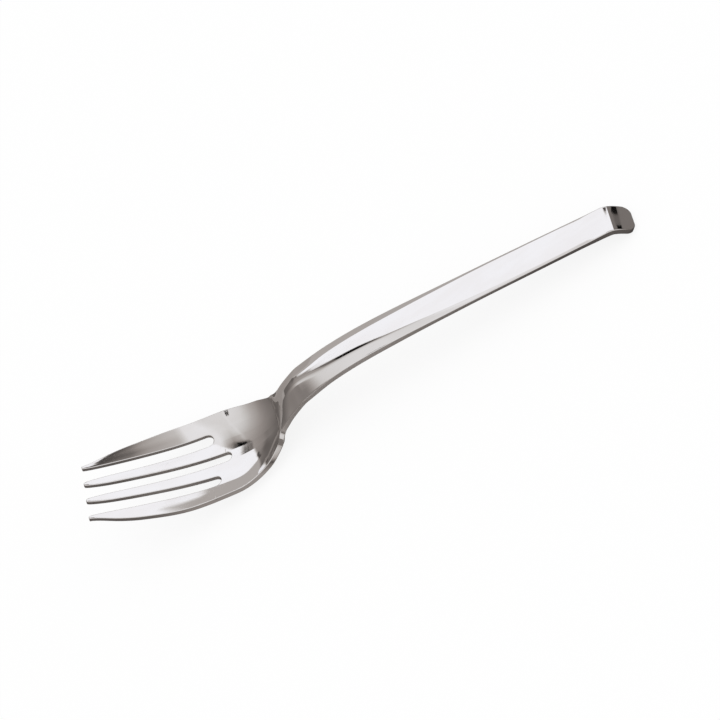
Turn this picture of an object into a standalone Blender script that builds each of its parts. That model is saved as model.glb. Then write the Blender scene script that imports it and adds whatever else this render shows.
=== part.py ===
"""One-piece serving fork, pressed from stainless sheet, in metres with +Z up, at rest on a table.

X runs from the tips of the tines to the hooked end and Y runs across the fork, which is symmetric
about Y = 0. The origin is on the table, under the middle of the fork's box.
"""
import math

import bmesh
import bpy
import numpy as np

MM = 0.001

# Lengths along the middle of the top face, one after another from the tips to the hooked end
HEAD_LENGTH = 98.2 * MM       # tips to the crease behind the bowl
RAMP_LENGTH = 24.4 * MM       # steep front of the neck
BROW_LENGTH = 5.2 * MM        # where the neck leans over towards the handle
ARCH_LENGTH = 15.0 * MM       # brow to the arch
SHANK_LENGTH = 30.0 * MM      # arch to the straight part of the handle
GRIP_LENGTH = 110.0 * MM      # straight part of the handle
FLAT_LENGTH = 48.0 * MM       # last part of the grip, which has no facets
FOLD_LENGTH = 5.5 * MM        # bend of the hook
LIP_LENGTH = 9.1 * MM         # flat end of the hook

# Places on the head, as distances from the tips
TINE_PLACE = 30.0 * MM        # middle of the tines
FRONT_PLACE = 25.0 * MM       # where the outer tines have swung out
BELLY_PLACE = 49.0 * MM       # widest place
FLOOR_PLACE = 70.0 * MM       # floor of the bowl
SHOULDER_PLACE = 88.0 * MM    # where the outline has turned in towards the neck
MIDDLE_ROOT = 69.7 * MM       # closed end of the middle slot
SIDE_ROOT = 63.1 * MM         # closed ends of the outer slots
THROAT_RUN = 8.5 * MM         # crease to the concave corner of the outline

# Slopes of the middle line in degrees, against the line of the grip
TIP_ANGLE = -22.0
TINE_ANGLE = -18.5
FLOOR_ANGLE = -5.2
BOWL_ANGLE = 33.4             # back wall of the bowl, just before the crease
RAMP_ANGLE = 65.5             # neck, just after the crease
RAMP_TOP_ANGLE = 28.8
BROW_ANGLE = 11.6
ARCH_ANGLE = 8.2
SHANK_ANGLE = 1.6
HOOK_TURN = 39.3              # how far the fold turns the lip down

# Widths of the blank
TIPS_WIDTH = 33.4 * MM        # over the outer tines' tips
FRONT_WIDTH = 45.9 * MM
BELLY_WIDTH = 51.2 * MM
FLOOR_WIDTH = 50.6 * MM
SHOULDER_WIDTH = 41.0 * MM
CREASE_WIDTH = 29.4 * MM
THROAT_WIDTH = 23.0 * MM
BROW_WIDTH = 22.6 * MM
ARCH_WIDTH = 20.8 * MM
SHANK_WIDTH = 19.7 * MM
FOLD_WIDTH = 16.4 * MM
END_WIDTH = 15.2 * MM
END_CORNER = 4.2 * MM         # radius of the lip's two corners

# Tines: two inner ones, whose edges are set by their middle lines and widths, and two outer ones
INNER_TIP_OFFSET = 5.2 * MM
INNER_ROOT_OFFSET = 6.4 * MM
INNER_TIP_WIDTH = 4.0 * MM    # where the tine's straight taper would meet the tips
INNER_ROOT_WIDTH = 7.6 * MM
OUTER_TIP_OFFSET = 14.3 * MM  # inner edge of the outer tine, as its straight line meets the tips
OUTER_ROOT_OFFSET = 16.3 * MM
POINT_LENGTH = 14.8 * MM      # length over which each tine is rounded to its point
POINT_WIDTH = 1.8 * MM
POINT_SETBACK = 0.5 * MM

# Height of the sheet's edges over its middle line: a dish in the bowl, a crown on the neck
TIP_DISH = -0.2 * MM
FRONT_DISH = 1.0 * MM
BELLY_DISH = 2.3 * MM
FLOOR_DISH = 3.8 * MM
CREASE_DISH = 2.9 * MM
THROAT_CROWN = 1.7 * MM       # halfway up the ramp
BROW_CROWN = 3.8 * MM
ARCH_CROWN = 2.1 * MM
SHANK_CROWN = 1.2 * MM
FLAT_CROWN = 0.3 * MM
CROWN_RUN = 20.0 * MM         # length over which the dish turns into the faceted crown
SOFT_RIM = 5.0 * MM           # the crease is soft this far in from the rim
SOFT_RUN = 6.0 * MM           # and this far along the fork
FACET_START = 12.0 * MM       # the facet begins this far up the ramp

# Width of the narrow facet along the top of the handle, between its two flanks
BROW_FACET = 3.2 * MM
ARCH_FACET = 6.6 * MM
SHANK_FACET = 8.9 * MM
GRIP_FACET = 15.0 * MM
FACET_SHARE = 0.86            # the facet takes at most this share of the width
COLUMN_SHARE = 0.6            # and the grid's columns follow its edge up to this share

# Thickness of the sheet
TIP_THICKNESS = 1.9 * MM
TINE_THICKNESS = 2.1 * MM
THROAT_THICKNESS = 2.7 * MM
ARCH_THICKNESS = 3.2 * MM
GRIP_THICKNESS = 2.6 * MM
EDGE_ROUND = 0.45 * MM
BOWL_WEAR = 0.3 * MM          # depth of the worn flat under the bowl
LIP_WEAR = 0.42 * MM          # depth of the worn flat under the end of the hook
WEAR_EDGE = 0.06 * MM         # what stands this little above the flats is worn too

# Rows and columns of the sheet's grid
POINT_ROWS = (1.4, 2.2, 3.5, 5.5, 8.0, 11.0)
TINE_ROWS = 10
ROOT_ROWS = 4
BOWL_ROWS = 13
RAMP_ROWS = 10
BROW_ROWS = 3
ARCH_ROWS = 4
SHANK_ROWS = 5
GRIP_ROWS = 9
FLAT_ROWS = 4
FOLD_ROWS = 5
LIP_ROWS = 2
CORNER_ROWS = 3
MIDDLE_SLOT_COLUMNS = 3
TINE_COLUMNS = 3
SIDE_SLOT_COLUMNS = 4
RIM_COLUMN = 0.75 * MM        # least width of the columns along the handle's edges

CREASE = HEAD_LENGTH
BROW = CREASE + RAMP_LENGTH
BROW_END = BROW + BROW_LENGTH
ARCH = BROW_END + ARCH_LENGTH
SHANK_END = ARCH + SHANK_LENGTH
FOLD = SHANK_END + GRIP_LENGTH
FLAT = FOLD - FLAT_LENGTH
LIP = FOLD + FOLD_LENGTH
END = LIP + LIP_LENGTH


def smooth_curve(*points):
    """A curve through the given (place, value) points that never overshoots them, as a function."""
    places = np.array([place for place, _ in points], float)
    values = np.array([value for _, value in points], float)
    steps = np.diff(places)
    grades = np.diff(values) / steps
    slopes = np.concatenate([[grades[0]], np.zeros(len(points) - 2), [grades[-1]]])
    for i in range(1, len(points) - 1):
        if grades[i - 1] * grades[i] > 0:
            before = 2 * steps[i] + steps[i - 1]
            after = steps[i] + 2 * steps[i - 1]
            slopes[i] = (before + after) / (before / grades[i - 1] + after / grades[i])

    def value_at(place):
        place = min(max(place, places[0]), places[-1])
        i = min(int(np.searchsorted(places, place, side="right")) - 1, len(steps) - 1)
        t = (place - places[i]) / steps[i]
        start = values[i] * (1 + 2 * t) * (1 - t) ** 2 + slopes[i] * steps[i] * t * (1 - t) ** 2
        end = values[i + 1] * t * t * (3 - 2 * t) - slopes[i + 1] * steps[i] * t * t * (1 - t)
        return float(start + end)

    return value_at


head_slope = smooth_curve(
    (0, TIP_ANGLE), (TINE_PLACE, TINE_ANGLE), (FLOOR_PLACE, FLOOR_ANGLE), (CREASE, BOWL_ANGLE))
neck_slope = smooth_curve(
    (CREASE, RAMP_ANGLE), (BROW, RAMP_TOP_ANGLE), (BROW_END, BROW_ANGLE), (ARCH, ARCH_ANGLE),
    (SHANK_END, SHANK_ANGLE), (SHANK_END + SHANK_LENGTH, 0), (FOLD, 0))
blank_width = smooth_curve(
    (0, TIPS_WIDTH), (FRONT_PLACE, FRONT_WIDTH), (BELLY_PLACE, BELLY_WIDTH), (FLOOR_PLACE, FLOOR_WIDTH),
    (SHOULDER_PLACE, SHOULDER_WIDTH), (CREASE, CREASE_WIDTH), (CREASE + THROAT_RUN, THROAT_WIDTH),
    (BROW, BROW_WIDTH), (ARCH, ARCH_WIDTH), (SHANK_END, SHANK_WIDTH), (FOLD, FOLD_WIDTH), (END, END_WIDTH))
edge_height = smooth_curve(
    (0, TIP_DISH), (FRONT_PLACE, FRONT_DISH), (BELLY_PLACE, BELLY_DISH), (FLOOR_PLACE, FLOOR_DISH),
    (CREASE, CREASE_DISH), (CREASE + RAMP_LENGTH / 2, -THROAT_CROWN), (BROW, -BROW_CROWN),
    (ARCH, -ARCH_CROWN), (SHANK_END, -SHANK_CROWN), (FLAT, -FLAT_CROWN), (FOLD, 0))
facet_width = smooth_curve(
    (CREASE, BROW_FACET), (BROW_END, BROW_FACET), (ARCH, ARCH_FACET), (SHANK_END, SHANK_FACET),
    (FLAT, GRIP_FACET), (FOLD, GRIP_FACET))
thickness = smooth_curve(
    (0, TIP_THICKNESS), (FRONT_PLACE, TINE_THICKNESS), (FLOOR_PLACE, TINE_THICKNESS),
    (CREASE + THROAT_RUN, THROAT_THICKNESS), (ARCH, ARCH_THICKNESS), (FLAT, GRIP_THICKNESS),
    (END, GRIP_THICKNESS))


def ease(t):
    """0 up to t = 0 and 1 from t = 1 on, with a smooth run between them."""
    t = min(max(t, 0), 1)
    return t * t * (3 - 2 * t)


def taper(place):
    """0 at the tips of the tines and 1 where their points have reached full width."""
    t = min(place / POINT_LENGTH, 1)
    return math.sqrt(1 - (1 - t) ** 2)


def half_width(place):
    """Half the width over the fork's outer edges."""
    base = TIPS_WIDTH / 2
    half = base + (blank_width(place) / 2 - base) * taper(place)
    past = min(max(place - (END - END_CORNER), 0), END_CORNER)
    return half - END_CORNER + math.sqrt(END_CORNER ** 2 - past ** 2)


def tine_edges(place):
    """Distances from the middle line to the inner tine's two edges and the outer tine's inner edge."""
    along = min(place, MIDDLE_ROOT) / MIDDLE_ROOT
    middle = INNER_TIP_OFFSET + (INNER_ROOT_OFFSET - INNER_TIP_OFFSET) * along
    full = INNER_TIP_WIDTH + (INNER_ROOT_WIDTH - INNER_TIP_WIDTH) * along
    half = (POINT_WIDTH + (full - POINT_WIDTH) * taper(place)) / 2
    outer_point = TIPS_WIDTH / 2 - POINT_WIDTH
    outer_line = OUTER_TIP_OFFSET + (OUTER_ROOT_OFFSET - OUTER_TIP_OFFSET) * along
    return middle - half, middle + half, outer_point + (outer_line - outer_point) * taper(place)


def facet_edge(place):
    """Distance from the middle line to the line where a flank meets the facet on top."""
    return min(facet_width(place) / 2, half_width(place) * FACET_SHARE)


def strip_edges(place):
    """Widths of the lines that bound the grid's strips: slots and tines ahead, facets behind."""
    half = half_width(place)
    if place <= MIDDLE_ROOT:
        return (0, *tine_edges(place), half)
    root = tine_edges(MIDDLE_ROOT)
    bowl = [edge * half / half_width(MIDDLE_ROOT) for edge in root]
    facet = min(facet_edge(place), half * COLUMN_SHARE)
    rim = min(max(TINE_COLUMNS * RIM_COLUMN, 0.3 * (half - facet)), 0.5 * (half - facet))
    side = half - rim
    share = TINE_COLUMNS / (TINE_COLUMNS + SIDE_SLOT_COLUMNS)
    handle = (facet, facet + (side - facet) * share, side)
    blend = ease((place - CREASE) / FACET_START)
    return (0, *(a + (b - a) * blend for a, b in zip(bowl, handle)), half)


def side_slot_half():
    """Half the width of an outer slot at its closed end."""
    _, inner, outer = tine_edges(SIDE_ROOT)
    return (outer - inner) / 2


def middle_slot_half():
    """Half the width of the middle slot at its closed end."""
    return tine_edges(MIDDLE_ROOT)[0]


SIDE_START = SIDE_ROOT - side_slot_half()
MIDDLE_START = MIDDLE_ROOT - middle_slot_half()
MIDDLE_SLOT_END = MIDDLE_SLOT_COLUMNS
INNER_TINE_END = MIDDLE_SLOT_END + TINE_COLUMNS
SIDE_SLOT_END = INNER_TINE_END + SIDE_SLOT_COLUMNS
COLUMNS = SIDE_SLOT_END + TINE_COLUMNS


def spread(start, end, count):
    """The count places after start, evenly spaced up to end."""
    return [start + (end - start) * (i + 1) / count for i in range(count)]


def row_places():
    """Distances from the tips to the rows of the grid."""
    rows = [0] + [place * MM for place in POINT_ROWS] + [POINT_LENGTH]
    for end, count in (
            (SIDE_START, TINE_ROWS), (MIDDLE_START, ROOT_ROWS), (CREASE, BOWL_ROWS), (BROW, RAMP_ROWS),
            (BROW_END, BROW_ROWS), (ARCH, ARCH_ROWS), (SHANK_END, SHANK_ROWS), (FLAT, GRIP_ROWS),
            (FOLD, FLAT_ROWS), (LIP, FOLD_ROWS), (END - END_CORNER, LIP_ROWS)):
        rows += spread(rows[-1], end, count)
    for i in range(1, CORNER_ROWS + 1):
        rows.append(END - END_CORNER + END_CORNER * math.sin(i * math.pi / 2 / CORNER_ROWS))
    return rows


def column_width(place, column):
    """Distance from the middle line to a column of the grid, with the slots' columns on round ends."""
    middle, inner, outer, side, edge = strip_edges(place)
    even = ease((place - MIDDLE_ROOT) / (CREASE - MIDDLE_ROOT))
    if column <= MIDDLE_SLOT_END:
        share = column / MIDDLE_SLOT_COLUMNS
        round_share = math.sin(share * math.pi / 2)
        return inner * (round_share + (share ** 1.5 - round_share) * even)
    if column <= INNER_TINE_END:
        return inner + (outer - inner) * (column - MIDDLE_SLOT_END) / TINE_COLUMNS
    if column <= SIDE_SLOT_END:
        share = (column - INNER_TINE_END) / SIDE_SLOT_COLUMNS
        round_share = (1 + math.sin((share - 0.5) * math.pi)) / 2
        return outer + (side - outer) * (round_share + (share - round_share) * even)
    return side + (edge - side) * (column - SIDE_SLOT_END) / TINE_COLUMNS


def round_end(place, column):
    """How far a grid point moves towards the handle, so that the slots and the points end round."""
    if place == 0:
        strip = column - MIDDLE_SLOT_END if column <= INNER_TINE_END else column - SIDE_SLOT_END
        return POINT_SETBACK * (2 * strip / TINE_COLUMNS - 1) ** 2
    if column <= MIDDLE_SLOT_END:
        half, start = middle_slot_half(), MIDDLE_START
        bulge = half * math.cos(column / MIDDLE_SLOT_COLUMNS * math.pi / 2)
    elif INNER_TINE_END <= column <= SIDE_SLOT_END:
        half, start = side_slot_half(), SIDE_START
        bulge = half * math.cos(((column - INNER_TINE_END) / SIDE_SLOT_COLUMNS - 0.5) * math.pi)
    else:
        return 0
    fade = (place - start) / (3.2 * half)
    return bulge * (1 - fade) ** 2 if -1e-9 <= fade <= 1 else 0


def slope(place):
    """Slope of the middle line, in radians against the grip."""
    degrees = head_slope(place) if place < CREASE else neck_slope(place)
    fold = min(max((place - FOLD) / FOLD_LENGTH, 0), 1)
    return math.radians(degrees - HOOK_TURN * fold)


def middle_line():
    """Places along the middle of the top face, with their x and z, level as the fork rests."""
    places = np.concatenate([np.linspace(0, CREASE, 400), np.linspace(CREASE, END, 800)[1:]])
    steps = np.diff(places)
    angles = np.array([slope(place) for place in (places[1:] + places[:-1]) / 2])
    x = np.concatenate([[0], np.cumsum(steps * np.cos(angles))])
    z = np.concatenate([[0], np.cumsum(steps * np.sin(angles))])
    slopes = np.array([slope(place) for place in places])
    depth = np.array([thickness(place) for place in places])
    under_x = x + depth * np.sin(slopes)
    under_z = z - depth * np.cos(slopes)
    head = places < CREASE
    lean = np.arctan2(under_z[-1] - under_z[head], under_x[-1] - under_x[head]).max()
    return (places, x * math.cos(lean) + z * math.sin(lean), z * math.cos(lean) - x * math.sin(lean))


def soften(place, places, line):
    """Mean of a coordinate of the middle line over the softened part of the crease."""
    reach = max(SOFT_RUN - abs(place - CREASE), 0)
    return np.interp(np.linspace(place - reach, place + reach, 21), places, line).mean()


def lift(place, width):
    """Height of the top face over the middle line at a distance from it, which is flat at first."""
    half = half_width(place)
    facet = facet_edge(place)
    floor = strip_edges(place)[1]
    dish = (max(width - floor, 0) / (half - floor)) ** 2
    flanks = max(width - facet, 0) / (half - facet)
    crown = ease((place - CREASE) / CROWN_RUN)
    return edge_height(place) * (dish + (flanks - dish) * crown)


def press_sheet():
    """Half of the fork's top face: a grid without the slots' faces, pressed to shape."""
    rows = row_places()
    places, line_x, line_z = middle_line()
    bm = bmesh.new()
    bmesh.ops.create_grid(bm, x_segments=len(rows) - 1, y_segments=COLUMNS, size=1)

    def grid_place(point):
        return (point.x + 1) / 2 * (len(rows) - 1), (point.y + 1) / 2 * COLUMNS

    slots = []
    for face in bm.faces:
        row, column = grid_place(face.calc_center_median())
        if column < MIDDLE_SLOT_END and rows[int(row)] < MIDDLE_START - 1e-9:
            slots.append(face)
        elif INNER_TINE_END < column < SIDE_SLOT_END and rows[int(row)] < SIDE_START - 1e-9:
            slots.append(face)
    bmesh.ops.delete(bm, geom=slots, context="FACES")
    weights = bm.verts.layers.deform.new()
    for vert in bm.verts:
        row, column = (round(number) for number in grid_place(vert.co))
        width = column_width(rows[row], column)
        place = rows[row] + round_end(rows[row], column)
        rim = ease((width - half_width(place)) / SOFT_RIM + 1)
        x, z = (np.interp(place, places, line) * (1 - rim) + soften(place, places, line) * rim
                for line in (line_x, line_z))
        vert.co = (x, width, z + lift(place, min(width, half_width(place))))
        vert[weights][0] = thickness(place) / ARCH_THICKNESS
    mesh = bpy.data.meshes.new("fork")
    bm.to_mesh(mesh)
    bm.free()
    mesh.shade_smooth()
    mesh.set_sharp_from_angle(angle=math.radians(20))
    return mesh


def polished_steel():
    """Mirror polished stainless steel."""
    material = bpy.data.materials.new("polished_steel")
    material.use_nodes = True
    shader = material.node_tree.nodes["Principled BSDF"]
    shader.inputs["Base Color"].default_value = (0.67, 0.65, 0.63, 1)
    shader.inputs["Metallic"].default_value = 1
    shader.inputs["Roughness"].default_value = 0.08
    return material


def make_fork(collection):
    """The whole fork: the pressed half mirrored, given its thickness, and its edges rounded."""
    mesh = press_sheet()
    mesh.materials.append(polished_steel())
    fork = bpy.data.objects.new("fork", mesh)
    collection.objects.link(fork)
    fork.vertex_groups.new(name="thickness")

    mirror = fork.modifiers.new("other half", "MIRROR")
    mirror.use_axis = (False, True, False)
    mirror.merge_threshold = 0.00001

    sheet = fork.modifiers.new("sheet", "SOLIDIFY")
    sheet.thickness = ARCH_THICKNESS
    sheet.offset = -1
    sheet.use_even_offset = True
    sheet.vertex_group = "thickness"
    sheet.thickness_vertex_group = 0

    edges = fork.modifiers.new("rounded edges", "BEVEL")
    edges.width = EDGE_ROUND
    edges.segments = 2
    edges.limit_method = "ANGLE"
    edges.angle_limit = math.radians(60)
    return fork


def stand_on_table(fork):
    """Levels the fork on its bowl and its lip, worn flat where they bear, and centres it on the origin."""
    bpy.context.view_layer.update()
    depsgraph = bpy.context.evaluated_depsgraph_get()
    solid = bpy.data.meshes.new_from_object(fork.evaluated_get(depsgraph), depsgraph=depsgraph)
    bm = bmesh.new()
    bm.from_mesh(solid)
    bmesh.ops.triangulate(bm, faces=bm.faces)
    bm.to_mesh(solid)
    bm.free()
    points = np.array([vert.co for vert in solid.vertices])
    x, z = points[:, 0], points[:, 2]
    bowl, lip = np.flatnonzero(x < CREASE), np.flatnonzero(x > x.max() - LIP_LENGTH)
    lean = 0
    for _ in range(4):
        height = z * math.cos(lean) - x * math.sin(lean)
        front, back = bowl[height[bowl].argmin()], lip[height[lip].argmin()]
        lean += (height[back] + LIP_WEAR - height[front] - BOWL_WEAR) / (x[back] - x[front])
    along = x * math.cos(lean) + z * math.sin(lean)
    height = z * math.cos(lean) - x * math.sin(lean) - height[front] - BOWL_WEAR
    points[:, 0] = along - (along.min() + along.max()) / 2
    points[:, 2] = np.where(height < WEAR_EDGE, 0, height)
    solid.vertices.foreach_set("co", points.ravel())
    solid.update()
    fork.modifiers.clear()
    fork.data = solid


def main():
    for old in list(bpy.data.objects):
        bpy.data.objects.remove(old, do_unlink=True)
    collection = bpy.data.collections.new("serving_fork")
    bpy.context.scene.collection.children.link(collection)
    stand_on_table(make_fork(collection))


main()
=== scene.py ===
import math
import bmesh
import bpy
import numpy as np
from mathutils import Matrix, Vector


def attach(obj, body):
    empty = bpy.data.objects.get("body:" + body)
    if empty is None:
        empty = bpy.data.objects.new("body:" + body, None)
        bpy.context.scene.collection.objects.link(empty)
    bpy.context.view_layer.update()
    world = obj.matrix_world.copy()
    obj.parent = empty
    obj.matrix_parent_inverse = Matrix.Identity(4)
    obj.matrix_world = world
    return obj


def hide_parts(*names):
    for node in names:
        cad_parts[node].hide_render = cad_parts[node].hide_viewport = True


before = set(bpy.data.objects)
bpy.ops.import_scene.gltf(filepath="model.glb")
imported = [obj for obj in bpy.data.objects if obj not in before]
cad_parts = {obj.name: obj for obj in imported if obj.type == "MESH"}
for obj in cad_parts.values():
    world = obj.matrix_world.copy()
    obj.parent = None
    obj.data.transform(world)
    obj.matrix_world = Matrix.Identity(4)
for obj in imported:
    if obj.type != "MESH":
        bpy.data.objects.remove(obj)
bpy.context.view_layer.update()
mm = 0.001
hair = 1e-6                                       # less than any step of a grid

# Camera

cameraValues = {
    "place": (0.391213, -0.944561, 0.891632),     # metres, in the fork's frame
    "right": (0.82084, -0.16959, -0.5454),        # the picture's x axis
    "down": (-0.49292, -0.69273, -0.52646),       # the picture's y axis
    "focal": 150.0, "sensor": 36.0,               # mm
    "clip": (0.05, 30.0),
}


def makeCamera(values):
    data = bpy.data.cameras.new("camera")
    data.lens, data.sensor_width = values["focal"], values["sensor"]
    data.clip_start, data.clip_end = values["clip"]
    camera = bpy.data.objects.new("camera", data)
    right, down = Vector(values["right"]).normalized(), Vector(values["down"])
    down = (down - right * down.dot(right)).normalized()
    turn = Matrix((right, -down, -right.cross(down))).transposed()
    camera.matrix_world = Matrix.Translation(values["place"]) @ turn.to_4x4()
    bpy.context.collection.objects.link(camera)
    bpy.context.scene.camera = camera


makeCamera(cameraValues)
print("camera ready")

# Nodes and their maths


class Link:
    # wraps a node's output, so that sums and products of masks read as Python

    def __init__(self, tree, socket):
        self.tree, self.socket = tree, socket

    def maths(self, operation, first, second):
        node = self.tree.nodes.new("ShaderNodeMath")
        node.operation = operation
        for slot, value in zip(node.inputs, (first, second)):
            if isinstance(value, Link):
                self.tree.links.new(value.socket, slot)
            else:
                slot.default_value = value
        return Link(self.tree, node.outputs[0])

    def __add__(self, other): return self.maths("ADD", self, other)
    def __radd__(self, other): return self.maths("ADD", other, self)
    def __sub__(self, other): return self.maths("SUBTRACT", self, other)
    def __rsub__(self, other): return self.maths("SUBTRACT", other, self)
    def __mul__(self, other): return self.maths("MULTIPLY", self, other)
    def __rmul__(self, other): return self.maths("MULTIPLY", other, self)
    def __truediv__(self, other): return self.maths("DIVIDE", self, other)
    def __rtruediv__(self, other): return self.maths("DIVIDE", other, self)
    def atMost(self, other): return self.maths("MINIMUM", self, other)


class Nodes:
    # a tree of nodes; node() makes any node from its type, settings and inputs, and link() gives one of its outputs

    def __init__(self, tree):
        self.tree = tree
        self.tree.nodes.clear()

    def node(self, kind, settings=None, **inputs):
        made = self.tree.nodes.new(kind if "Node" in kind else "ShaderNode" + kind)
        for name, value in (settings or {}).items():
            if name == "stops":
                ramp = made.color_ramp
                while len(ramp.elements) < len(value):
                    ramp.elements.new(0.5)
                for stop, (place, colour) in zip(ramp.elements, value):
                    stop.position, stop.color = place, colour
            else:
                setattr(made, name, value)
        for name, value in inputs.items():
            slot = made.inputs[int(name[1:])] if name[1:].isdigit() else made.inputs[name.replace("_", " ")]
            if isinstance(value, Link):
                self.tree.links.new(value.socket, slot)
            else:
                slot.default_value = value
        return made

    def link(self, kind, output=0, settings=None, **inputs):
        return Link(self.tree, self.node(kind, settings, **inputs).outputs[output])

    def parts(self, vector):
        # x, y and z of a vector
        return [Link(self.tree, part) for part in self.node("SeparateXYZ", Vector=vector).outputs]


class Shader(Nodes):
    # the tree of a material or of the world

    def __init__(self, owner):
        owner.use_nodes = True
        super().__init__(owner.node_tree)

    def seen(self):
        # 1 for what the camera sees straight on, in a mirror or through glass
        path = self.node("LightPath")
        camera, glossy, transmission = (Link(self.tree, path.outputs["Is " + kind + " Ray"])
                                        for kind in ("Camera", "Glossy", "Transmission"))
        return (camera + glossy + transmission).atMost(1)

    def ramp(self, stops, value):
        # a grey level or a colour from (place, level) pairs, which run over the whole range
        low, high = stops[0][0], stops[-1][0]
        stops = [((at - low) / (high - low), (*level, 1) if isinstance(level, tuple) else (level, level, level, 1))
                 for at, level in stops]
        return self.link("ValToRGB", 0, {"stops": stops}, Fac=(value - low) / (high - low))

    def mix(self, share, first, second, blend="MIX"):
        second = second if isinstance(second, (Link, tuple)) else (second, second, second, 1)
        return self.link("Mix", 2, {"data_type": "RGBA", "blend_type": blend}, _0=share, _6=first, _7=second)

    def tinted(self, level, tints):
        return self.mix(1.0, level, self.ramp(tints, level), "MULTIPLY")

    def band(self, value, low, high):
        # 0 below low, 1 above high, smooth between
        return self.link("MapRange", 0, {"interpolation_type": "SMOOTHSTEP"}, Value=value, From_Min=low, From_Max=high)


# The fork: a flat blank cut to its outline and pressed along its middle line

# millimetres and degrees; a place is a distance from the tips along the middle of the top face
forkValues = {
    "headLength": 98.2, "rampLength": 24.4, "browLength": 5.2, "archLength": 15.0, "shankLength": 30.0,
    "gripLength": 110.0, "flatLength": 48.0, "foldLength": 5.3, "lipLength": 9.2,
    "tinePlace": 30.0, "frontPlace": 25.0, "bellyPlace": 49.0, "floorPlace": 70.0, "shoulderPlace": 88.0,
    "middleRoot": 69.7, "sideRoot": 63.1, "throatRun": 8.5,
    "tipAngle": -21.2, "tineAngle": -18.5, "floorAngle": -5.2, "bowlAngle": 33.4, "rampAngle": 65.5,
    "rampTopAngle": 28.8, "browAngle": 11.6, "archAngle": 8.2, "shankAngle": 1.6, "hookTurn": 39.3,
    "tipsWidth": 33.4, "frontWidth": 45.9, "bellyWidth": 51.2, "floorWidth": 50.6, "shoulderWidth": 41.0,
    "creaseWidth": 29.4, "throatWidth": 23.0, "browWidth": 22.6, "archWidth": 20.8, "shankWidth": 19.7,
    "foldWidth": 16.4, "endWidth": 15.2, "endCorner": 4.2,
    "innerTipOffset": 5.2, "innerRootOffset": 6.4, "innerTipWidth": 4.0, "innerRootWidth": 7.6,
    "outerTipOffset": 14.3, "outerRootOffset": 16.3, "outerTwist": 2.0, "twistRun": 24.0,
    "pointLength": 14.8, "pointWidth": 1.8, "pointBlunt": 0.15, "pointSetback": 0.3, "pointRun": 2.5,
    "outerFlare": 0.4,                               # share of the setback on the outer side of an outer tine
    "tipDish": -0.2, "frontDish": 1.0, "bellyDish": 2.3, "floorDish": 3.8, "creaseDish": 2.9,
    "throatCrown": 1.7, "browCrown": 3.8, "archCrown": 2.1, "shankCrown": 1.2, "flatCrown": 0.3, "crownRun": 20.0,
    "softRim": 1.4, "softRun": 2.2,                  # where the crease runs out softly at the rim
    "facetStart": 12.0, "browFacet": 3.2, "archFacet": 6.6, "shankFacet": 8.9, "gripFacet": 15.0,
    "foldFacet": 16.0, "facetShare": 0.96, "columnShare": 0.6,
    "tipThickness": 1.9, "tineThickness": 2.1, "throatThickness": 2.7, "archThickness": 3.2, "gripThickness": 2.6,
    "edgeRound": 0.36, "edgeSteps": 4, "bowlWear": 0.3, "lipWear": 0.42,
    "creaseRound": 0.5,                              # half of the length over which the crease turns
    "facetRound": 1.5, "facetRoundMost": 0.6,        # width over which a flank steepens, and its most as a share
    # gentle slope beside the facet over the brow: its steepness as a share of the flank's, and where it comes and goes
    "ledgeSlope": 0.13, "ledgeWidth": 1.1, "ledgeRound": 0.3, "ledgeStart": 8.0, "ledgeLead": 0.7,
    "ledgeRun": 62.0, "ledgeFade": 40.0,
    "rollWidth": 3.5, "rollDepth": 0.2, "rollFade": 8.0,     # the buffed roll-off along the handle's long edges
    # slight dent that the fold leaves behind it
    "dentDepth": 0.07, "dentWidth": 0.9, "dentSetback": 0.2, "dentMiddle": 0.25,
    "foldEase": 0.35,                                # how softly the fold starts and ends
    "foldSpread": 6.5, "spreadShare": 0.24, "spreadStart": 0.7,     # the part of the turn that runs on into the lip
    "foldCup": 0.2,                                  # how much the lip is cupped
    # columns across half of the blank: the slots, the tines, and the handle's flank and rim
    "middleColumns": 6, "innerColumns": 3, "sideColumns": 10, "middleCrowd": 1.3, "edgeRoom": 2.6,
    "rimStrip": 2.2, "rimLeast": 0.3, "rimMost": 0.5, "flankShare": 0.45,
    # rows along it: at the tips, then how many up to each stop, with close ones behind the roots and at the crease
    "tipRows": (0.8, 1.2, 1.7, 2.3, 3.0, 4.0, 5.2, 6.6, 8.2, 10.0, 12.2),
    "rowCounts": (40, 7, 8, 7, 34, 16, 26, 8, 12, 20, 40, 16, 12, 5, 10),
    "rootRun": 1.6, "rootCrowd": 1.5, "rootFade": 3.2, "creaseRun": 2.0, "softSamples": 61,
}


def smoothCurve(*points):
    # monotone cubic through (place, value) points
    places = np.array([place for place, _ in points], float)
    values = np.array([value for _, value in points], float)
    steps = np.diff(places)
    grades = np.diff(values) / steps
    slopes = np.concatenate([[grades[0]], np.zeros(len(points) - 2), [grades[-1]]])
    for i in range(1, len(points) - 1):
        if grades[i - 1] * grades[i] > 0:
            before, after = 2 * steps[i] + steps[i - 1], steps[i] + 2 * steps[i - 1]
            slopes[i] = (before + after) / (before / grades[i - 1] + after / grades[i])

    def valueAt(place):
        place = min(max(place, places[0]), places[-1])
        i = min(int(np.searchsorted(places, place, side="right")) - 1, len(steps) - 1)
        t = (place - places[i]) / steps[i]
        start = values[i] * (1 + 2 * t) * (1 - t) ** 2 + slopes[i] * steps[i] * t * (1 - t) ** 2
        end = values[i + 1] * t * t * (3 - 2 * t) - slopes[i + 1] * steps[i] * t * t * (1 - t)
        return float(start + end)

    return valueAt


def ease(t):
    t = min(max(t, 0), 1)
    return t * t * (3 - 2 * t)


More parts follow.
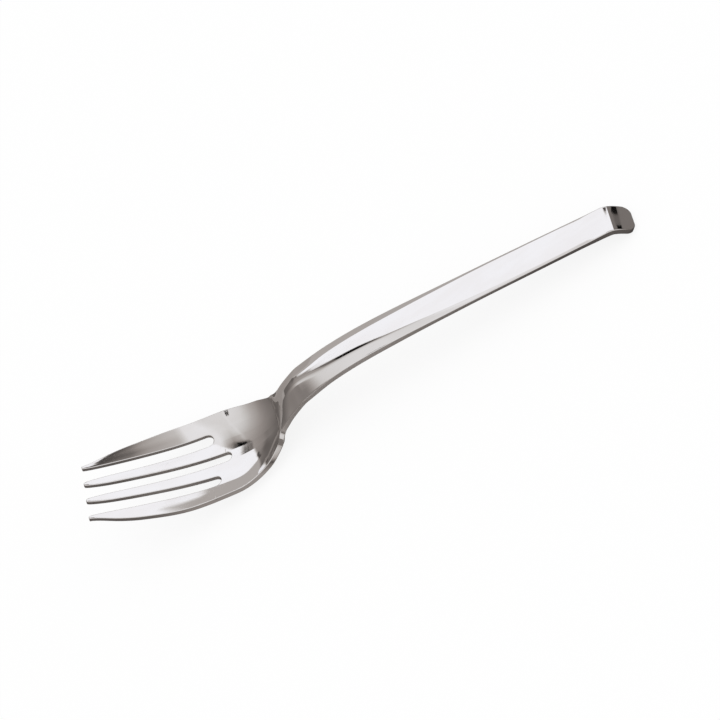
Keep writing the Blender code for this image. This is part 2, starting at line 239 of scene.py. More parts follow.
class ForkShape:
    # every curve that the blank and the press follow, in millimetres along the middle of the top face

    def __init__(self, v):
        self.v = v
        self.crease = v["headLength"]
        self.brow = self.crease + v["rampLength"]
        self.browEnd = self.brow + v["browLength"]
        self.arch = self.browEnd + v["archLength"]
        self.shankEnd = self.arch + v["shankLength"]
        self.fold = self.shankEnd + v["gripLength"]
        self.flat = self.fold - v["flatLength"]
        self.lip = self.fold + v["foldLength"]
        self.end = self.lip + v["lipLength"]
        crease, brow, arch, shank, flat, fold, end = (
            self.crease, self.brow, self.arch, self.shankEnd, self.flat, self.fold, self.end)
        self.headAngle = smoothCurve((0, v["tipAngle"]), (v["tinePlace"], v["tineAngle"]),
                                     (v["floorPlace"], v["floorAngle"]), (crease, v["bowlAngle"]))
        self.neckAngle = smoothCurve(
            (crease, v["rampAngle"]), (brow, v["rampTopAngle"]), (self.browEnd, v["browAngle"]),
            (arch, v["archAngle"]), (shank, v["shankAngle"]), (shank + v["shankLength"], 0), (fold, 0))
        self.blankWidth = smoothCurve(
            (0, v["tipsWidth"]), (v["frontPlace"], v["frontWidth"]), (v["bellyPlace"], v["bellyWidth"]),
            (v["floorPlace"], v["floorWidth"]), (v["shoulderPlace"], v["shoulderWidth"]), (crease, v["creaseWidth"]),
            (crease + v["throatRun"], v["throatWidth"]), (brow, v["browWidth"]), (arch, v["archWidth"]),
            (shank, v["shankWidth"]), (fold, v["foldWidth"]), (end, v["endWidth"]))
        self.edgeHeight = smoothCurve(
            (0, v["tipDish"]), (v["frontPlace"], v["frontDish"]), (v["bellyPlace"], v["bellyDish"]),
            (v["floorPlace"], v["floorDish"]), (crease, v["creaseDish"]),
            (crease + v["rampLength"] / 2, -v["throatCrown"]), (brow, -v["browCrown"]), (arch, -v["archCrown"]),
            (shank, -v["shankCrown"]), (flat, -v["flatCrown"]), (fold, 0))
        self.facetWidth = smoothCurve((crease, v["browFacet"]), (self.browEnd, v["browFacet"]), (arch, v["archFacet"]),
                                      (shank, v["shankFacet"]), (flat, v["gripFacet"]), (fold, v["foldFacet"]))
        self.thickness = smoothCurve(
            (0, v["tipThickness"]), (v["frontPlace"], v["tineThickness"]), (v["floorPlace"], v["tineThickness"]),
            (crease + v["throatRun"], v["throatThickness"]), (arch, v["archThickness"]),
            (flat, v["gripThickness"]), (end, v["gripThickness"]))

    def taper(self, place):
        # 0 at the tips and 1 where the points have reached full width, a little blunted at its start
        blunt = self.v["pointBlunt"] / self.v["pointLength"]
        start = math.sqrt(1 - (1 - blunt) ** 2)
        t = min(place / self.v["pointLength"] + blunt, 1)
        return (math.sqrt(1 - (1 - t) ** 2) - start) / (1 - start)

    def halfWidth(self, place):
        # half of the blank's width, with the points' taper and the lip's round corners
        v = self.v
        base = v["tipsWidth"] / 2
        half = base + (self.blankWidth(place) / 2 - base) * self.taper(place)
        past = min(max(place - (self.end - v["endCorner"]), 0), v["endCorner"])
        return half - v["endCorner"] + math.sqrt(v["endCorner"] ** 2 - past ** 2)

    def tineEdges(self, place):
        # the inner tine's two edges and the outer tine's inner edge, from the middle line
        v = self.v
        along = min(place, v["middleRoot"]) / v["middleRoot"]
        middle = v["innerTipOffset"] + (v["innerRootOffset"] - v["innerTipOffset"]) * along
        full = v["innerTipWidth"] + (v["innerRootWidth"] - v["innerTipWidth"]) * along
        half = (v["pointWidth"] + (full - v["pointWidth"]) * self.taper(place)) / 2
        outerPoint = v["tipsWidth"] / 2 - v["pointWidth"]
        outerLine = v["outerTipOffset"] + (v["outerRootOffset"] - v["outerTipOffset"]) * along
        return middle - half, middle + half, outerPoint + (outerLine - outerPoint) * self.taper(place)

    def facetEdge(self, place):
        return min(self.facetWidth(place) / 2, self.halfWidth(place) * self.v["facetShare"])

    def stripEdges(self, place):
        # slots and tines ahead of the roots, the facet and its flank behind
        v = self.v
        half = self.halfWidth(place)
        root = v["middleRoot"]
        if place <= root:
            return (0, *self.tineEdges(place), half)
        bowl = [edge * half / self.halfWidth(root) for edge in self.tineEdges(root)]
        facet = min(self.facetEdge(place), half * v["columnShare"])
        flank = half - facet
        side = half - min(max(v["rimStrip"], v["rimLeast"] * flank), v["rimMost"] * flank)
        handle = (facet, facet + (side - facet) * v["flankShare"], side)
        blend = ease((place - self.crease) / v["facetStart"])
        return (0, *(a + (b - a) * blend for a, b in zip(bowl, handle)), half)

    def angle(self, place):
        # slope of the middle line; its jump at the crease is run over a short length
        v = self.v
        head = self.headAngle(min(place, self.crease))
        neck = self.neckAngle(max(place, self.crease))
        share = ease((place - self.crease) / (2 * v["creaseRound"]) + 0.5)
        t = min(max((place - self.fold) / v["foldLength"], 0), 1)
        early = ease(t) * v["foldEase"] + t * (1 - v["foldEase"])
        late = ease((place - self.fold - v["foldLength"] * v["spreadStart"]) / v["foldSpread"])
        fold = early * (1 - v["spreadShare"]) + late * v["spreadShare"]
        return math.radians(head + (neck - head) * share - v["hookTurn"] * fold)

    def rise(self, place, width):
        # height of the top face over its middle line
        v = self.v
        half, facet = self.halfWidth(place), self.facetEdge(place)
        floor = self.stripEdges(place)[1]
        # a bowl with a flat floor ahead of the crease, a facet with falling flanks behind it
        dish = (max(width - floor, 0) / (half - floor)) ** 2
        soft = min(v["facetRound"], v["facetRoundMost"] * (half - facet))
        coming = ease((place - self.brow) / v["ledgeStart"] + v["ledgeLead"])
        ledge = v["ledgeSlope"] * coming * ease((self.arch + v["ledgeRun"] - place) / v["ledgeFade"])

        def lean(over, run):
            # height of a slope that comes in softly over a run
            return max(over, 0) ** 2 / (2 * run) if over < run else over - run / 2

        def steepen(over):
            # the gentle slope beside the facet first, and then the flank
            early = min(over, ledge * soft)
            return ledge * lean(early + v["ledgeWidth"], v["ledgeRound"]) + lean(over, soft) - lean(early, soft)

        flanks = steepen(width - facet) / steepen(half - facet)
        crown = self.edgeHeight(place) * (dish + (flanks - dish) * ease((place - self.crease) / v["crownRun"]))
        # the buffed edges, the dent behind the fold and the cup of the lip
        roll = ease((place - self.shankEnd) / v["shankLength"]) * ease((self.fold - place) / v["rollFade"])
        roll *= v["rollDepth"] * max((width - half) / v["rollWidth"] + 1, 0) ** 2
        dent = v["dentDepth"] * math.exp(-((place - self.lip + v["dentSetback"]) / v["dentWidth"]) ** 2)
        dent *= v["dentMiddle"] + (width / half) ** 2
        cup = v["foldCup"] * ease((place - self.fold) / v["foldLength"]) * (2 * width / v["foldWidth"]) ** 2
        # the outer tines are twisted a little, their outer edges up
        inner = self.tineEdges(place)[2]
        twist = math.tan(math.radians(v["outerTwist"])) * max(1 - place / v["twistRun"], 0)
        twist *= max(width - (inner + half) / 2, (inner - half) / 2)
        return crown - roll - dent + cup + twist

    def middleLine(self, steps=3000):
        # x and z of the middle of the top face, with the fork level as it rests
        places = np.linspace(0, self.end, steps)
        step = places[1] - places[0]
        angles = np.array([self.angle(place) for place in (places[1:] + places[:-1]) / 2])
        x = np.concatenate([[0], np.cumsum(step * np.cos(angles))])
        z = np.concatenate([[0], np.cumsum(step * np.sin(angles))])
        slopes = np.array([self.angle(place) for place in places])
        depth = np.array([self.thickness(place) for place in places])
        underX, underZ = x + depth * np.sin(slopes), z - depth * np.cos(slopes)
        head = places < self.crease
        lean = np.arctan2(underZ[-1] - underZ[head], underX[-1] - underX[head]).max()
        return places, x * math.cos(lean) + z * math.sin(lean), z * math.cos(lean) - x * math.sin(lean)

    def soften(self, place, width, line):
        # how far a point near the rim moves off the middle line, so that the crease runs out softly there
        places, x, z = line
        run = self.v["softRun"]
        share = ease((width - self.halfWidth(place)) / self.v["softRim"] + 1) * ease(2 - abs(place - self.crease) / run)
        if not share:
            return 0, 0
        near = np.linspace(place - run, place + run, self.v["softSamples"])
        return [share * (np.interp(near, places, part).mean() - np.interp(place, places, part)) for part in (x, z)]

    def roundSteps(self):
        # distances from a sharp edge at which its rounding needs a line of the grid
        turns = np.linspace(0, math.pi / 2, self.v["edgeSteps"] + 1)
        return [self.v["edgeRound"] * (1 - math.cos(turn)) for turn in turns]

    def roundDrop(self, inset):
        # how far a face falls towards the sheet's middle at a distance from the sharp edge
        r = self.v["edgeRound"]
        return r - np.sqrt(r ** 2 - np.maximum(r - inset, 0) ** 2)


def blankGrid(shape):
    # the places of the rows, the column where each strip starts, and where the slots' round ends start
    v = shape.v
    inner, outer = shape.tineEdges(v["sideRoot"])[1:]
    sideStart = v["sideRoot"] - (outer - inner) / 2
    middleStart = v["middleRoot"] - shape.tineEdges(v["middleRoot"])[0]
    rows = shape.roundSteps() + [*v["tipRows"], v["pointLength"]]
    stops = (sideStart, sideStart + v["rootRun"], middleStart, middleStart + v["rootRun"],
             shape.crease - v["creaseRun"], shape.crease + v["creaseRun"], shape.brow, shape.browEnd, shape.arch,
             shape.shankEnd, shape.flat, shape.fold, shape.lip, shape.end - v["endCorner"], shape.end)
    for i, (stop, count) in enumerate(zip(stops, v["rowCounts"])):
        start = rows[-1]
        for j in range(1, count + 1):
            t = j / count
            if i in (1, 3):
                t = t ** v["rootCrowd"]           # close rows behind the roots of the slots
            if i == len(stops) - 1:
                t = math.sin(t * math.pi / 2)     # equal steps round the lip's corners
            rows.append(start + (stop - start) * t)
    tine = 2 * v["edgeSteps"] + v["innerColumns"]
    strips = np.cumsum([0, v["middleColumns"], tine, v["sideColumns"], tine])
    return rows, [int(edge) for edge in strips], sideStart, middleStart


def columnPlace(shape, strips, place, column):
    # distance from the middle line; a slot's columns crowd towards its sides so that its end is round
    v = shape.v
    edges = shape.stripEdges(place)
    strip = next(i for i in range(4) if column <= strips[i + 1])
    wide = edges[strip + 1] - edges[strip]
    share = (column - strips[strip]) / (strips[strip + 1] - strips[strip])
    even = ease((place - v["middleRoot"]) / (shape.crease - v["middleRoot"]))
    if strip == 0:                                   # the middle slot
        rounded = math.sin(share * math.pi / 2)
        share = rounded + (share ** v["middleCrowd"] - rounded) * even
    elif strip == 2:                                 # a side slot
        rounded = (1 + math.sin((share - 0.5) * math.pi)) / 2
        share = rounded + (share - rounded) * even
    else:                                            # a tine, with columns where its two rounded edges need them
        steps = np.array(shape.roundSteps()) * min(1, wide / (v["edgeRoom"] * v["edgeRound"])) / wide
        inner = np.linspace(steps[-1], 1 - steps[-1], v["innerColumns"] + 1)
        share = [*steps[:-1], *inner, *(1 - steps[-2::-1])][column - strips[strip]]
    return edges[strip] + wide * share


def roundEnd(shape, strips, starts, place, column):
    # how far a point moves towards the handle, so that the slots and the points end round
    v = shape.v
    if place < v["pointRun"]:
        first, last = (strips[1], strips[2]) if column <= strips[2] else (strips[3], strips[4])
        low, high = (columnPlace(shape, strips, place, end) for end in (first, last))
        side = 2 * (columnPlace(shape, strips, place, column) - low) / (high - low) - 1
        flare = v["outerFlare"] if column > strips[3] and side > 0 else 1     # the outer tines swing out from the tip
        return v["pointSetback"] * flare * side ** 2 * (1 - place / v["pointRun"]) ** 2
    if column <= strips[1]:
        half, start = shape.tineEdges(v["middleRoot"])[0], starts[1]
        bulge = half * math.cos(column / v["middleColumns"] * math.pi / 2)
    elif strips[2] <= column <= strips[3]:
        inner, outer = shape.tineEdges(v["sideRoot"])[1:]
        half, start = (outer - inner) / 2, starts[0]
        bulge = half * math.cos(((column - strips[2]) / v["sideColumns"] - 0.5) * math.pi)
    else:
        return 0
    fade = (place - start) / (v["rootFade"] * half)
    return bulge * (1 - fade) ** 2 if -hair <= fade <= 1 else 0


def outlineDistance(bm):
    # how far each point of the flat blank lies from the nearest cut edge
    cut = [[vert.co.xy for vert in edge.verts] for edge in bm.edges
           if edge.is_boundary and max(vert.co.y for vert in edge.verts) > hair]
    start, end = np.array([a for a, _ in cut]), np.array([b for _, b in cut])
    run = end - start
    result = []
    for vert in bm.verts:
        point = np.array(vert.co.xy)
        along = np.clip(((point - start) * run).sum(1) / (run ** 2).sum(1), 0, 1)
        result.append(np.hypot(*(start + run * along[:, None] - point).T).min())
    return result


def cutBlank(shape, line):
    # half of the flat blank, with what the press needs stored on its points
    rows, strips, *starts = blankGrid(shape)
    columns = strips[-1]
    bm = bmesh.new()
    bmesh.ops.create_grid(bm, x_segments=len(rows) - 1, y_segments=columns, size=1)

    def gridPlace(point):
        # row and column of a point of the grid
        return (point.x + 1) / 2 * (len(rows) - 1), (point.y + 1) / 2 * columns

    slots = []
    for face in bm.faces:
        row, column = gridPlace(face.calc_center_median())
        place = rows[int(row)] + hair
        if (column < strips[1] and place < starts[1]) or (strips[2] < column < strips[3] and place < starts[0]):
            slots.append(face)
    bmesh.ops.delete(bm, geom=slots, context="FACES")
    along = bm.verts.layers.float.new("along")
    lift = bm.verts.layers.float_vector.new("lift")
    inset = bm.verts.layers.float.new("inset")
    deform = bm.verts.layers.deform.new()
    for vert in bm.verts:
        row, column = (round(number) for number in gridPlace(vert.co))
        width = columnPlace(shape, strips, rows[row], column)
        place = rows[row] + roundEnd(shape, strips, starts, rows[row], column)
        vert.co = (place * mm, width * mm, 0)
        vert[along] = place * mm
        shiftX, shiftZ = shape.soften(place, width, line)
        rise = shape.rise(place, min(width, shape.halfWidth(place)))
        vert[lift] = (shiftX * mm, 0, (shiftZ + rise) * mm)
        vert[deform][0] = shape.thickness(place) / shape.v["archThickness"]
    for vert, distance in zip(bm.verts, outlineDistance(bm)):
        vert[inset] = distance
    mesh = bpy.data.meshes.new("forkBlank")
    bm.to_mesh(mesh)
    bm.free()
    mesh.shade_smooth()
    return mesh


def pressTree():
    # carries each point of the blank to its place on the middle line, and adds its lift
    tree = bpy.data.node_groups.new("press", "GeometryNodeTree")
    face = tree.interface
    face.new_socket("Geometry", in_out="INPUT", socket_type="NodeSocketGeometry")
    face.new_socket("Geometry", in_out="OUTPUT", socket_type="NodeSocketGeometry")
    lineInput = face.new_socket("Middle line", in_out="INPUT", socket_type="NodeSocketObject").identifier
    finishInput = face.new_socket("Finish", in_out="INPUT", socket_type="NodeSocketMaterial").identifier
    press = Nodes(tree)
    start = press.node("NodeGroupInput")
    blank, middle, finish = (Link(tree, start.outputs[name]) for name in ("Geometry", "Middle line", "Finish"))
    line = press.link("GeometryNodeObjectInfo", "Geometry", Object=middle)
    curve = press.link("GeometryNodeMeshToCurve", Mesh=line)
    along = press.link("GeometryNodeInputNamedAttribute", 0, {"data_type": "FLOAT"}, Name="along")
    lift = press.link("GeometryNodeInputNamedAttribute", 0, {"data_type": "FLOAT_VECTOR"}, Name="lift")
    onLine = press.link("GeometryNodeSampleCurve", "Position", {"mode": "LENGTH", "use_all_curves": True},
                        Curves=curve, Length=along)
    flat, there = press.parts(press.link("GeometryNodeInputPosition")), press.parts(onLine)
    place = press.link("CombineXYZ", X=there[0], Y=flat[1], Z=there[2])
    lifted = press.link("VectorMath", _0=place, _1=lift)
    pressed = press.link("GeometryNodeSetPosition", Geometry=blank, Position=lifted)
    whole = press.link("GeometryNodeRealizeInstances", Geometry=pressed)
    finished = press.link("GeometryNodeSetMaterial", Geometry=whole, Material=finish)
    press.node("NodeGroupOutput", Geometry=finished)
    return tree, lineInput, finishInput


def middleLineObject(line):
    # the middle line as a chain of edges, for the press
    places, x, z = line
    mesh = bpy.data.meshes.new("middleLine")
    mesh.from_pydata([(a * mm, 0, b * mm) for a, b in zip(x, z)], [(i, i + 1) for i in range(len(x) - 1)], [])
    made = bpy.data.objects.new("middleLine", mesh)
    bpy.context.collection.objects.link(made)
    return made


def roundEdges(points, mesh, shape):
    # Solidify gives each point of the top face its partner below: near an edge both move together
    inset = np.empty(len(points))
    mesh.attributes["inset"].data.foreach_get("value", inset)
    half = len(points) // 2
    top, under = points[:half], points[half:]
    down = (under - top) / np.linalg.norm(under - top, axis=1)[:, None]
    drop = down * shape.roundDrop(inset[:half] / mm)[:, None] * mm
    return np.concatenate([top + drop, under - drop])


def standOnTable(points, shape):
    # levels the fork on its bowl and its lip, wears both flat, and centres it on the origin
    x, z = points[:, 0], points[:, 2]
    bowlWear, lipWear = shape.v["bowlWear"] * mm, shape.v["lipWear"] * mm
    bowl, lip = np.flatnonzero(x < shape.crease * mm), np.flatnonzero(x > x.max() - shape.v["lipLength"] * mm)
    lean, rounds = 0, 4                              # the lowest points are found again after each round
    for _ in range(rounds):
        height = z * math.cos(lean) - x * math.sin(lean)
        front, back = bowl[height[bowl].argmin()], lip[height[lip].argmin()]
        lean += (height[back] + lipWear - height[front] - bowlWear) / (x[back] - x[front])
    along = x * math.cos(lean) + z * math.sin(lean)
    height = z * math.cos(lean) - x * math.sin(lean) - height[front] - bowlWear
    height = np.maximum(height, 0)
    return np.column_stack([along - (along.min() + along.max()) / 2, points[:, 1], height])


def makeFork(values, finish):
    shape = ForkShape(values)
    middle = shape.middleLine()
    blank = cutBlank(shape, middle)
    blank.materials.append(finish)
    tool = bpy.data.objects.new("forkTool", blank)
    bpy.context.collection.objects.link(tool)
    tool.vertex_groups.new(name="thickness")
    line = middleLineObject(middle)
    tree, lineInput, finishInput = pressTree()

    press = tool.modifiers.new("press", "NODES")
    press.node_group = tree
    press[lineInput] = line
    press[finishInput] = finish
    mirror = tool.modifiers.new("other half", "MIRROR")
    mirror.use_axis = (False, True, False)
    mirror.merge_threshold = 0.01 * mm
    sheet = tool.modifiers.new("sheet", "SOLIDIFY")
    sheet.thickness = values["archThickness"] * mm
    sheet.offset = -1
    sheet.vertex_group = "thickness"

    bpy.context.view_layer.update()
    depsgraph = bpy.context.evaluated_depsgraph_get()
    mesh = bpy.data.meshes.new_from_object(tool.evaluated_get(depsgraph), depsgraph=depsgraph)
    mesh.name = "forkSheet"
    points = np.empty(len(mesh.vertices) * 3)
    mesh.vertices.foreach_get("co", points)
    points = standOnTable(roundEdges(points.reshape(-1, 3), mesh, shape), shape)
    mesh.vertices.foreach_set("co", points.ravel())
    mesh.attributes.remove(mesh.attributes["lift"])
    mesh.shade_smooth()
    mesh.update()
    for old in (tool, line):
        bpy.data.objects.remove(old)
    fork = bpy.data.objects.new("polishedFork", mesh)
    bpy.context.collection.objects.link(fork)
    even = fork.modifiers.new("even shading", "WEIGHTED_NORMAL")
    even.weight = 100
    even.keep_sharp = True
    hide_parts("fork")
    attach(fork, "root")
    return fork


# Mirror polished steel

steelValues = {
    "colour": (0.865, 0.863, 0.86),
    "stain": (0.825, 0.81, 0.795),                   # a slightly warmer cast in places
    "roughness": 0.028,
    # polish streaks along the fork, in metres
    "streakLength": 0.045, "streakWidth": 0.00045, "streakSeed": 1.7, "streakDetail": 3.0, "streakRough": 0.012,
    # broad soft marks of the buffing wheel
    "hazeLength": 0.022, "hazeWidth": 0.009, "hazeTurn": 0.2, "hazeSeed": 5.1, "hazeBand": (0.35, 0.7),
    "hazeRough": 0.014, "hazeStain": 0.6,
    # micro scratches in a few directions, in radians from the fork's length
    "scratchLength": 0.009, "scratchWidth": 0.00022, "scratchTurns": (0.12, -0.3, 1.1), "scratchSeed": 11.3,
    "seedStep": 4, "scratchBand": (0.66, 0.74), "scratchRough": 0.06,
    "grainDetail": 2.0, "grainRough": 0.55, "grainDepth": 0.5,       # of the noise that draws all these marks
    "wearWidth": 0.0011, "wearRough": 0.05, "wearStain": 0.4,        # rubbed edges
    "bumpHeight": 0.0000013, "scratchDepth": 0.4,
}


def makeSteel(values):
    # mirror polish with fine streaks along the fork, a few micro scratches, haze and rubbed edges
    material = bpy.data.materials.new("mirrorSteel")
    s = Shader(material)
    _, y, z = s.parts(s.link("TexCoord", "Object"))
    along = s.link("Attribute", "Fac", {"attribute_name": "along"})
    inset = s.link("Attribute", "Fac", {"attribute_name": "inset"})

    def noise(length, width, turn, seed, detail=values["grainDetail"]):
        # noise drawn out in one direction, which lies at a small turn from the fork's length
        run = (along * math.cos(turn) + y * math.sin(turn)) / length
        side = (y * math.cos(turn) - along * math.sin(turn)) / width
        where = s.link("CombineXYZ", 0, X=run, Y=side, Z=z / width * values["grainDepth"] + seed)
        return s.link("TexNoise", 0, Vector=where, Scale=1.0, Detail=detail, Roughness=values["grainRough"])

    streaks = noise(values["streakLength"], values["streakWidth"], 0.0, values["streakSeed"], values["streakDetail"])
    haze = noise(values["hazeLength"], values["hazeWidth"], values["hazeTurn"], values["hazeSeed"])
    haze = s.band(haze, *values["hazeBand"])
    scratches = 0
    for i, turn in enumerate(values["scratchTurns"]):
        seed = values["scratchSeed"] + values["seedStep"] * i
        lines = noise(values["scratchLength"], values["scratchWidth"], turn, seed)
        scratches = s.band(lines, *values["scratchBand"]) + scratches
    wear = 1 - s.band(inset, 0.0, values["wearWidth"])
    roughness = (streaks * values["streakRough"] + haze * values["hazeRough"] + scratches * values["scratchRough"]
                 + wear * values["wearRough"] + values["roughness"])
    stained = (haze * values["hazeStain"] + wear * values["wearStain"]).atMost(1)
    colour = s.mix(stained, (*values["colour"], 1), (*values["stain"], 1))
    relief = streaks - scratches * values["scratchDepth"]
    bump = s.link("Bump", 0, Strength=1.0, Distance=values["bumpHeight"], Height=relief)
    surface = s.node("BsdfPrincipled", Base_Color=colour, Metallic=1.0, Roughness=roughness, Normal=bump)
    s.node("OutputMaterial", Surface=Link(s.tree, surface.outputs[0]))
    return material


fork = makeFork(forkValues, makeSteel(steelValues))
print("fork ready,", len(fork.data.polygons), "faces")

# Table and studio: soft white light from all round, and the painted reflections that only a mirror finish shows

studioValues = {
    "tableSize": 3.0,
    "tableColour": (0.97, 0.97, 0.97),
    "whiteness": 0.86,                  # how far the table is taken to white
    # painted shade on the mat along the fork, in metres from its middle: lightest near the middle, darker towards both
    # ends
    "matPaintedShade": ((-0.2, 0.12), (-0.14, 0.13), (-0.1, 0.3), (0.0, 0.36), (0.05, 0.24), (0.1, 0.13), (0.2, 0.12)),
    # behind the fork the painted shade lifts
    "matShadeLift": (0.02, 0.12, 0.38),     # from and to this far behind the fork the mat turns as light as this
    "matHeight": 0.0004,
    # tints of the painted reflections and of the mat's painted shade by their brightness: warm greys, slightly cool
    # white
    "tints": ((0.0, (1.0, 0.885, 0.83)), (0.3, (1.0, 0.9, 0.85)), (0.6, (0.985, 0.95, 0.93)),
              (1.0, (0.95, 0.945, 0.98))),
    # how brightly the painted reflections glow
    "strength": 1.07,
    "tentRadius": 1.1,
    # the painted reflections' brightness by height in degrees: the tent's wall towards the tips, the paler room
    # elsewhere, the part at the back, and what the brow of the neck shows
    "wall": ((-90, 0.4), (-4, 0.36), (1, 0.13), (10, 0.15), (20, 0.2), (30, 0.26), (37, 0.31), (42, 0.36), (46, 0.41),
             (50, 0.46), (55, 0.56), (62, 0.7), (70, 0.76), (80, 0.8), (90, 0.8)),
    "room": ((-90, 0.43), (2, 0.35), (7, 0.19), (45, 0.19), (60, 0.6), (72, 0.84), (80, 0.87), (90, 0.87)),
    "back": ((-90, 0.43), (-8, 0.3), (0, 0.19), (27, 0.18), (36, 0.6), (50, 0.78), (60, 0.84), (72, 0.87), (90, 0.87)),
    "brow": ((-90, 0.4), (0, 0.2), (30, 0.21), (40, 0.24), (59, 0.22), (62, 0.3), (64, 0.42), (67, 0.56), (72, 0.65),
             (80, 0.75), (90, 0.75)),
    # the turns between which each shows, and how softly it starts and ends
    "wallTurns": (24, 110, 4),
    "browTurns": (74, 115, 5),
    "backTurns": (-80, 30, 10),
    # the white panel behind the fork, then turn and height along its upper and lower edges
    "panelTurns": (-70, 29, 1.6),
    "panelTop": ((-70, 12), (-40, 33), (-20, 44.8), (-16, 47.2), (-13, 48), (-11, 49), (-8, 50.5), (-6, 53), (0, 56),
                 (4, 54), (7, 50.5), (10, 48.4), (14, 46.6), (17, 44.9), (20, 43.5), (22, 42.7), (25, 41), (28, 39),
                 (30, 36.5)),
    "panelFoot": ((-70, 40), (-44, 31), (-41, 28.8), (-38, 27.5), (-34, 26.5), (-20, 27), (-10, 33.5), (-5, 36),
                  (0, 33.5), (4, 31.5), (8, 29), (12, 24.7), (20, 23), (30, 22)),
    "panelSoft": 0.7,
    # brightness over the panel by degrees from its upper edge, how much of it shows at a turn, and under the panel
    "over": ((0, 0.04), (1, 0.065), (2.7, 0.11), (4, 0.18), (5, 0.26), (6.7, 0.37), (9.7, 0.48), (13, 0.58), (18, 0.7),
             (40, 0.78)),
    "overShare": ((-40, 1), (-12, 1), (-7, 0), (5, 0), (9, 0.6), (13, 1), (40, 1)),
    "under": 0.43, "underTurns": (-36, 29, 1),
    # painted darker and lighter patches in the reflections: turn from and to, height from and to, softness, brightness
    "patches": (
        (29.5, 35, 72.9, 74.4, 0.3, 0.02),
        (34.5, 42, 72.1, 73.2, 0.3, 0.0),
        (28.7, 31.3, 21, 30, 0.8, 0.08),
        (33, 42, 8, 26, 4, 0.13),
    ),
    # the same for what the hook shows, with turns that lean by lipLean per degree from the height lipHeight
    "lipLean": 0.3, "lipHeight": 15,
    "lipPatches": (
        (-52, -40, 12, 19, 1.5, 0.13),
        (-60, -48.1, 13, 20.8, 0.35, 0.005),
        (-45.5, -38, 11.6, 18.5, 0.35, 0.0),
    ),
    # the same, with the heights measured from the panel's upper edge
    "rimPatches": ((23, 29, 0.5, 5, 1.2, 0.15), (15, 24.5, 0.9, 4.4, 0.5, 0.0)),
}


def makeTable(values):
    # the camera, mirrors and glass see a whiter table, and it keeps the fork's shadow
    half = values["tableSize"] / 2

    def makeSheet(name, height, material):
        mesh = bpy.data.meshes.new(name)
        mesh.from_pydata([(-half, -half, height), (half, -half, height), (half, half, height), (-half, half, height)],
                         [], [(0, 1, 2, 3)])
        mesh.materials.append(material)
        sheet = bpy.data.objects.new(name, mesh)
        bpy.context.collection.objects.link(sheet)
        return sheet

    paper = bpy.data.materials.new("paleTable")
    s = Shader(paper)
    plain = s.node("BsdfDiffuse", Color=(*values["tableColour"], 1))
    white = s.node("Emission", Color=(1, 1, 1, 1), Strength=1.0)
    surface = s.node("MixShader", Fac=s.seen() * values["whiteness"], _1=Link(s.tree, plain.outputs[0]),
                     _2=Link(s.tree, white.outputs[0]))
    s.node("OutputMaterial", Surface=Link(s.tree, surface.outputs[0]))
    makeSheet("table", 0, paper)

    # a grey sheet just over the table that only a mirror finish shows: the table as the fork reflects it, with painted
    # shade
    mirrorShade = bpy.data.materials.new("paintedShadeInMirrors")
    s = Shader(mirrorShade)
    x, y, _ = s.parts(s.link("TexCoord", "Object"))
    near, far, light = values["matShadeLift"]
    level = s.mix(s.band(y, near, far), s.ramp(values["matPaintedShade"], x), light)
    surface = s.node("BsdfPrincipled", Base_Color=s.tinted(level, values["tints"]), Roughness=1.0,
                     Specular_IOR_Level=0.0)
    s.node("OutputMaterial", Surface=Link(s.tree, surface.outputs[0]))
    mirrorOnly(makeSheet("reflectorMat", values["matHeight"], mirrorShade))


def mirrorOnly(thing):
    # a piece of the set that shows only in a mirror finish
    for kind in ("camera", "diffuse", "transmission", "volume_scatter", "shadow"):
        setattr(thing, "visible_" + kind, False)


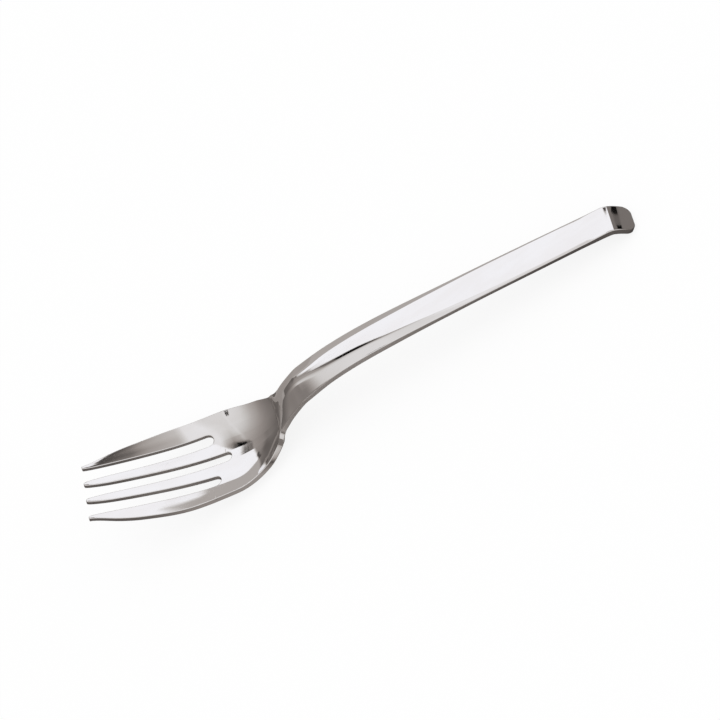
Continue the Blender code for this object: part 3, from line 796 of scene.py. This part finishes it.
def makeTent(values):
    # a wide ball round the fork, seen from inside, that glows and shows only in a mirror finish: painted reflections of
    # a grey room, darker walls, and a white panel behind the fork with dark gaps beside it
    bm = bmesh.new()
    bmesh.ops.create_icosphere(bm, subdivisions=5, radius=values["tentRadius"])
    bmesh.ops.reverse_faces(bm, faces=bm.faces)
    mesh = bpy.data.meshes.new("reflectorTent")
    bm.to_mesh(mesh)
    bm.free()
    material = bpy.data.materials.new("paintedReflectionGlow")
    s = Shader(material)
    x, y, z = s.parts(s.link("TexCoord", "Object"))
    degree = 180 / math.pi
    turn = x.maths("ARCTAN2", 0 - x, y) * degree       # 0 straight behind the fork, 90 towards its tips
    height = z.maths("ARCSINE", z / values["tentRadius"], 0.0) * degree

    def edge(stops, full=100):
        # a height for each turn, by way of a ramp's grey levels from 0 to 1
        return s.ramp([(at, level / full) for at, level in stops], turn) * full

    def within(value, low, high, soft):
        return s.band(value, low - soft, low + soft) * (1 - s.band(value, high - soft, high + soft))

    def patched(shade, patches, across, up):
        for low, high, bottom, top, spread, level in patches:
            shade = s.mix(within(across, low, high, spread) * within(up, bottom, top, spread), shade, level)
        return shade

    # each layer covers the ones before it
    over, foot = height - edge(values["panelTop"]), height - edge(values["panelFoot"])
    pastTop, pastFoot = (s.band(side, -values["panelSoft"], values["panelSoft"]) for side in (over, foot))
    onWall = within(turn, *values["wallTurns"])
    shade = s.mix(within(turn, *values["backTurns"]), s.ramp(values["room"], height), s.ramp(values["back"], height))
    shade = s.mix(onWall, shade, s.ramp(values["wall"], height))
    shade = s.mix(within(turn, *values["browTurns"]), shade, s.ramp(values["brow"], height))
    overShare = s.ramp(values["overShare"], turn) * pastTop * (1 - onWall)
    shade = s.mix(overShare, shade, s.ramp(values["over"], over))
    shade = s.mix((1 - pastFoot) * within(turn, *values["underTurns"]), shade, values["under"])
    shade = patched(shade, values["rimPatches"], turn, over)
    shade = s.mix(within(turn, *values["panelTurns"]) * pastFoot * (1 - pastTop), shade, 1.0)
    shade = patched(shade, values["patches"], turn, height)
    shade = patched(shade, values["lipPatches"], turn - (height - values["lipHeight"]) * values["lipLean"], height)
    # the ball glows with painted reflections, which only a mirror finish shows
    light = s.node("Emission", Color=s.tinted(shade, values["tints"]), Strength=values["strength"])
    s.node("OutputMaterial", Surface=Link(s.tree, light.outputs[0]))
    mesh.materials.append(material)
    tent = bpy.data.objects.new("reflectorTent", mesh)
    bpy.context.collection.objects.link(tent)
    mirrorOnly(tent)


def makeWorld():
    # plain white light, which the camera, mirrors and glass see as a white background
    world = bpy.data.worlds.new("studio")
    bpy.context.scene.world = world
    s = Shader(world)
    light = s.node("Background", Color=(1, 1, 1, 1), Strength=1.0)
    s.node("OutputWorld", Surface=Link(s.tree, light.outputs[0]))


makeTable(studioValues)
makeTent(studioValues)
makeWorld()
bpy.context.scene.view_settings.view_transform = "Standard"
print("studio ready")
